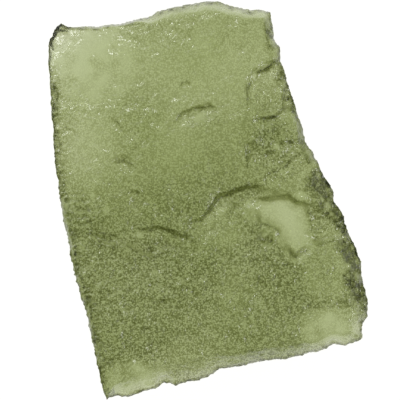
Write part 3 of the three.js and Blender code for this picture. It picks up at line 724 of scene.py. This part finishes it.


# the green glass; its losses are the shares of light that the rough etched skin holds back, and painted
# shade in its pits, hollows, slopes and crushed bands, with painted light where slopes face away
glass = {
    "ior": 1.49,
    "absorbed": (0.51, 0.59, 0.16, 1.0),
    "density": 420.0,  # per metre
    "roughness": (0.1, 0.3),  # of the smooth patches and of the matte etched skin
    "specular": 0.1,  # of the matte skin, below the sheen that glints
    "glint": 0.55,
    "glintRoughness": 0.06,
    # painted shade in the pits and grooves of the skin, and in its hollows
    "pitShadeLoss": 0.15,
    "hollowShadeLoss": 0.3,
    "steepShadeLoss": 0.62,  # painted shade on slopes to the shaded side
    "steepFrom": 0.02,  # how steep they are where it begins, and how fast it grows from there
    "steepGain": 2.6,
    "litSlopeGain": 1.5,  # painted light: how soon slopes that face the other way lose their grain
    "tiltShadeLoss": 0.7,  # painted shade on the slopes of the bump, and how fast it grows with them
    "tiltGain": 6.0,
    "shadeLoss": 0.93,  # of crushed glass and the painted shade along edges, ledges and ripples
    "crushedShadeLeast": 0.6,  # how much of it the clearest splinters have, and how much more the others
    "crushedShadeSpread": 0.8,
    "cellSize": 0.125 * mm,  # of the salt-and-pepper grain
    "cellLoss": 0.88,
    "cellSpread": 0.55,  # how much the cells differ, and how much darker they are at their rims
    "cellRims": 0.9,
    "speckFrom": -0.3,  # where a cell begins to be pale, and how soon it is
    "speckGain": 3.0,
    "wormSize": 0.24 * mm,
    "wormDetail": 1.0,
    "wormDistortion": 1.0,
    "wormSharpness": 9.0,
    "wormLoss": 0.1,
    "wall": 0.15,  # the share of these losses that the broken edge has
    "underside": 0.25,  # and the side it lies on
    "redShare": 1.03,  # powers: how much more of the red and blue the rough skin holds back
    "blueShare": 1.55,
    "bumpDepth": 0.06 * mm,
    "bumpStrength": 0.9,
    "bumpCells": 0.5,  # how much of it comes from the cells, for each of the worms
    "shardSize": 0.3 * mm,  # of the splinters of crushed skin
    "shardFrom": 0.45,  # how dark the skin is where they begin, and how far they lean past that
    "shardTilt": 2.8,
    "chipTilt": 1.2,  # how far they lean in a chip
}


def makeGlass():
    material = bpy.data.materials.new("greenGlass")
    material.use_nodes = True
    tree = material.node_tree
    add, math, vectorMath, scaled = toolsFor(tree)

    def attribute(name):
        return add("ShaderNodeAttribute", {}, attribute_name=name)["Fac"]

    def without(amount):
        return math("SUBTRACT", 1.0, amount, clamp=True)

    place = add("ShaderNodeTexCoord", {})["Object"]
    outward = add("ShaderNodeNewGeometry", {})["Normal"]
    etch, shade, chipped = attribute("etch"), attribute("shade"), attribute("chipped")
    rough = math("ADD", etch, shade, clamp=True)

    # grain: pale cells with dark rims, and worms
    cells = add("ShaderNodeTexVoronoi", {"Vector": place, "Scale": 1 / glass["cellSize"]})
    speck = add("ShaderNodeSeparateColor", {"Color": cells["Color"]})
    rims = math("MULTIPLY", cells["Distance"], glass["cellRims"])
    paleness = math("SUBTRACT", math("MULTIPLY", speck["Red"], glass["cellSpread"]), rims)
    bright = math("MULTIPLY", math("SUBTRACT", paleness, glass["speckFrom"]), glass["speckGain"], clamp=True)
    noise = add("ShaderNodeTexNoise", {
        "Vector": place,
        "Scale": 1 / glass["wormSize"],
        "Detail": glass["wormDetail"],
        "Distortion": glass["wormDistortion"],
    })["Fac"]
    worm = wormsIn(math, noise, glass["wormSharpness"])
    # painted light: slopes facing away from the shaded side lose their grain and look paler
    clear = math("MULTIPLY", attribute("clear"), glass["litSlopeGain"], clamp=True)
    grain = math("MULTIPLY", math("MULTIPLY", rough, without(clear)), without(chipped))

    # painted shade on slopes, large and small
    past = math("SUBTRACT", attribute("steep"), glass["steepFrom"])
    steep = math("MULTIPLY", math("MULTIPLY", past, glass["steepGain"], clamp=True), attribute("inside"))
    relief = math("ADD", noise, math("MULTIPLY", cells["Distance"], glass["bumpCells"]))
    bump = add("ShaderNodeBump", {
        "Strength": glass["bumpStrength"],
        "Distance": glass["bumpDepth"],
        "Height": math("MULTIPLY", relief, rough),
    })["Normal"]
    level = vectorMath("DOT_PRODUCT", bump, outward)["Value"]
    tilt = math("MULTIPLY", without(level), glass["tiltGain"], clamp=True)

    # splinters of crushed glass that glint, and the painted shade of the crushed bands
    shards = add("ShaderNodeTexVoronoi", {"Vector": place, "Scale": 1 / glass["shardSize"]})
    crumbled = math("SUBTRACT", shade, glass["shardFrom"], clamp=True)
    leanest = math("MAXIMUM", math("MULTIPLY", crumbled, glass["shardTilt"]),
                   math("MULTIPLY", chipped, glass["chipTilt"]))
    centred = vectorMath("SUBTRACT", shards["Color"], (0.5, 0.5, 0.5))["Vector"]
    leaning = vectorMath("ADD", scaled(centred, leanest), outward)["Vector"]
    splinter = vectorMath("NORMALIZE", leaning)["Vector"]
    uneven = math("ADD", glass["crushedShadeLeast"], math("MULTIPLY", speck["Green"], glass["crushedShadeSpread"]))
    crushedAndShaded = math("MULTIPLY", shade, uneven, clamp=True)

    # what gets through the skin, darkened by painted shade and paled by painted light
    through = without(math("MULTIPLY", math("MULTIPLY", without(bright), grain), glass["cellLoss"]))
    for loss, amount in [
        ("pitShadeLoss", attribute("pit")),
        ("hollowShadeLoss", attribute("hollow")),
        ("steepShadeLoss", steep),
        ("tiltShadeLoss", tilt),
        ("shadeLoss", crushedAndShaded),
        ("wormLoss", math("MULTIPLY", worm, grain)),
    ]:
        through = math("MULTIPLY", through, without(math("MULTIPLY", amount, glass[loss])), clamp=True)
    through = without(math("MULTIPLY", without(through), attribute("exposed")))
    tint = add("ShaderNodeCombineColor", {
        "Red": math("POWER", through, glass["redShare"]),
        "Green": through,
        "Blue": math("POWER", through, glass["blueShare"]),
    })["Color"]

    smooth, matte = glass["roughness"]
    feed(tree, tree.nodes["Principled BSDF"], {
        "Base Color": tint,
        "Metallic": 0.0,
        "Roughness": add("ShaderNodeMapRange", {"Value": rough, "To Min": smooth, "To Max": matte})["Result"],
        "IOR": glass["ior"],
        "Normal": bump,
        "Specular IOR Level": glass["specular"],
        "Transmission Weight": 1.0,
        "Coat Weight": glass["glint"],
        "Coat Roughness": glass["glintRoughness"],
        "Coat IOR": glass["ior"],
        "Coat Normal": splinter,
    })
    inside = add("ShaderNodeVolumeAbsorption", {"Color": glass["absorbed"], "Density": glass["density"]})
    feed(tree, tree.nodes["Material Output"], {"Volume": inside["Volume"]})
    print("green glass mixed")
    return material


def dressSkin(mesh, points, rim, firsts, material):
    x, y = points[:, 0], points[:, 1]
    number = np.arange(len(points))
    firstOfWall, firstBelow = firsts
    parts = [number < firstOfWall, number < firstBelow]
    amounts = {
        "etch": etchAmount(x, y),
        "shade": shadeAmount(x, y, rim),
        "chipped": chipAmount(x, y),
        "inside": insideAmount(x, y, rim),
        "exposed": np.select(parts, [1.0, glass["wall"]], glass["underside"]),
    }
    for name, values in amounts.items():
        mesh.attributes.new(name, "FLOAT", "POINT").data.foreach_set("value", values)
    rough = bpy.data.objects.new("roughStone", mesh)
    bpy.context.scene.collection.objects.link(rough)
    modifier = rough.modifiers.new("etchedSkin", "NODES")
    modifier.node_group = makeSkinTree()
    given = {**skin, "Material": material}
    for socket in modifier.node_group.interface.items_tree:
        if socket.in_out == "INPUT" and socket.name in given:
            modifier[socket.identifier] = given[socket.name]
    graph = bpy.context.evaluated_depsgraph_get()
    finished = bpy.data.meshes.new_from_object(rough.evaluated_get(graph), depsgraph=graph)
    bpy.data.objects.remove(rough)
    piece = bpy.data.objects.new("moldavite.stone", finished)
    bpy.context.scene.collection.objects.link(piece)
    print("skin etched")
    return piece


# the white lit surface, the lights and the camera
setting = {
    "floorSize": 1.2,  # in metres
    "floorDrop": 0.1 * mm,  # below the stone
    "floorColor": (0.3, 0.3, 0.29, 1.0),
    "floorRoughness": 0.9,
    "floorGlow": 0.95,
    "glowColor": (1.0, 1.0, 0.97, 1.0),
    "world": (0.14, 0.14, 0.14, 1.0),
    "lights": [  # places and sizes in metres
        {"name": "keyLight", "place": (-0.34, 0.26, 0.22), "size": 0.14, "watts": 0.4},
        {"name": "sparkLight", "place": (-0.09, 0.27, 0.36), "size": 0.08, "watts": 0.2},
        {"name": "fillLight", "place": (0.32, -0.10, 0.24), "size": 0.12, "watts": 0.4},
    ],
    "lens": 300.0,  # in millimetres, as the sensor is
    "sensor": 36.0,
    "clipStart": 0.01,  # in metres
    "frameWidth": 34.17 * mm,  # what the picture's width spans at the stone
    "aim": (-0.68 * mm, 0.0, 2.0 * mm),
}


def makeFloor():
    half = setting["floorSize"] / 2
    mesh = bpy.data.meshes.new("floor")
    corners = [(-half, -half), (half, -half), (half, half), (-half, half)]
    mesh.from_pydata([(x, y, -setting["floorDrop"]) for x, y in corners], [], [(0, 1, 2, 3)])
    floor = bpy.data.objects.new("floor", mesh)
    bpy.context.scene.collection.objects.link(floor)
    material = bpy.data.materials.new("paleFloor")
    material.use_nodes = True
    feed(material.node_tree, material.node_tree.nodes["Principled BSDF"], {
        "Base Color": setting["floorColor"],
        "Roughness": setting["floorRoughness"],
        "Emission Color": setting["glowColor"],
        "Emission Strength": setting["floorGlow"],
    })
    mesh.materials.append(material)


def aimAt(thing, target):
    way = Vector(target) - thing.location
    thing.rotation_mode = "QUATERNION"
    thing.rotation_quaternion = way.to_track_quat("-Z", "Y")


def makeLights():
    world = bpy.data.worlds.new("studio")
    world.use_nodes = True
    world.node_tree.nodes["Background"].inputs["Color"].default_value = setting["world"]
    bpy.context.scene.world = world
    for light in setting["lights"]:
        data = bpy.data.lights.new(light["name"], "AREA")
        data.size, data.energy = light["size"], light["watts"]
        lamp = bpy.data.objects.new(light["name"], data)
        lamp.location = light["place"]
        bpy.context.scene.collection.objects.link(lamp)
        aimAt(lamp, setting["aim"])


def makeCamera():
    data = bpy.data.cameras.new("camera")
    data.lens, data.sensor_width = setting["lens"], setting["sensor"]
    data.clip_start = setting["clipStart"]
    camera = bpy.data.objects.new("camera", data)
    away = setting["frameWidth"] * setting["lens"] / setting["sensor"]
    x, y, z = setting["aim"]
    camera.location = (x, y, z + away)
    bpy.context.scene.collection.objects.link(camera)
    bpy.context.scene.camera = camera


stonePiece = dressSkin(*makeStoneMesh(), makeGlass())
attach(stonePiece, "root")
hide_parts("moldavite")
makeFloor()
makeLights()
makeCamera()
bpy.context.scene.view_settings.view_transform = "Standard"
print("setting placed")
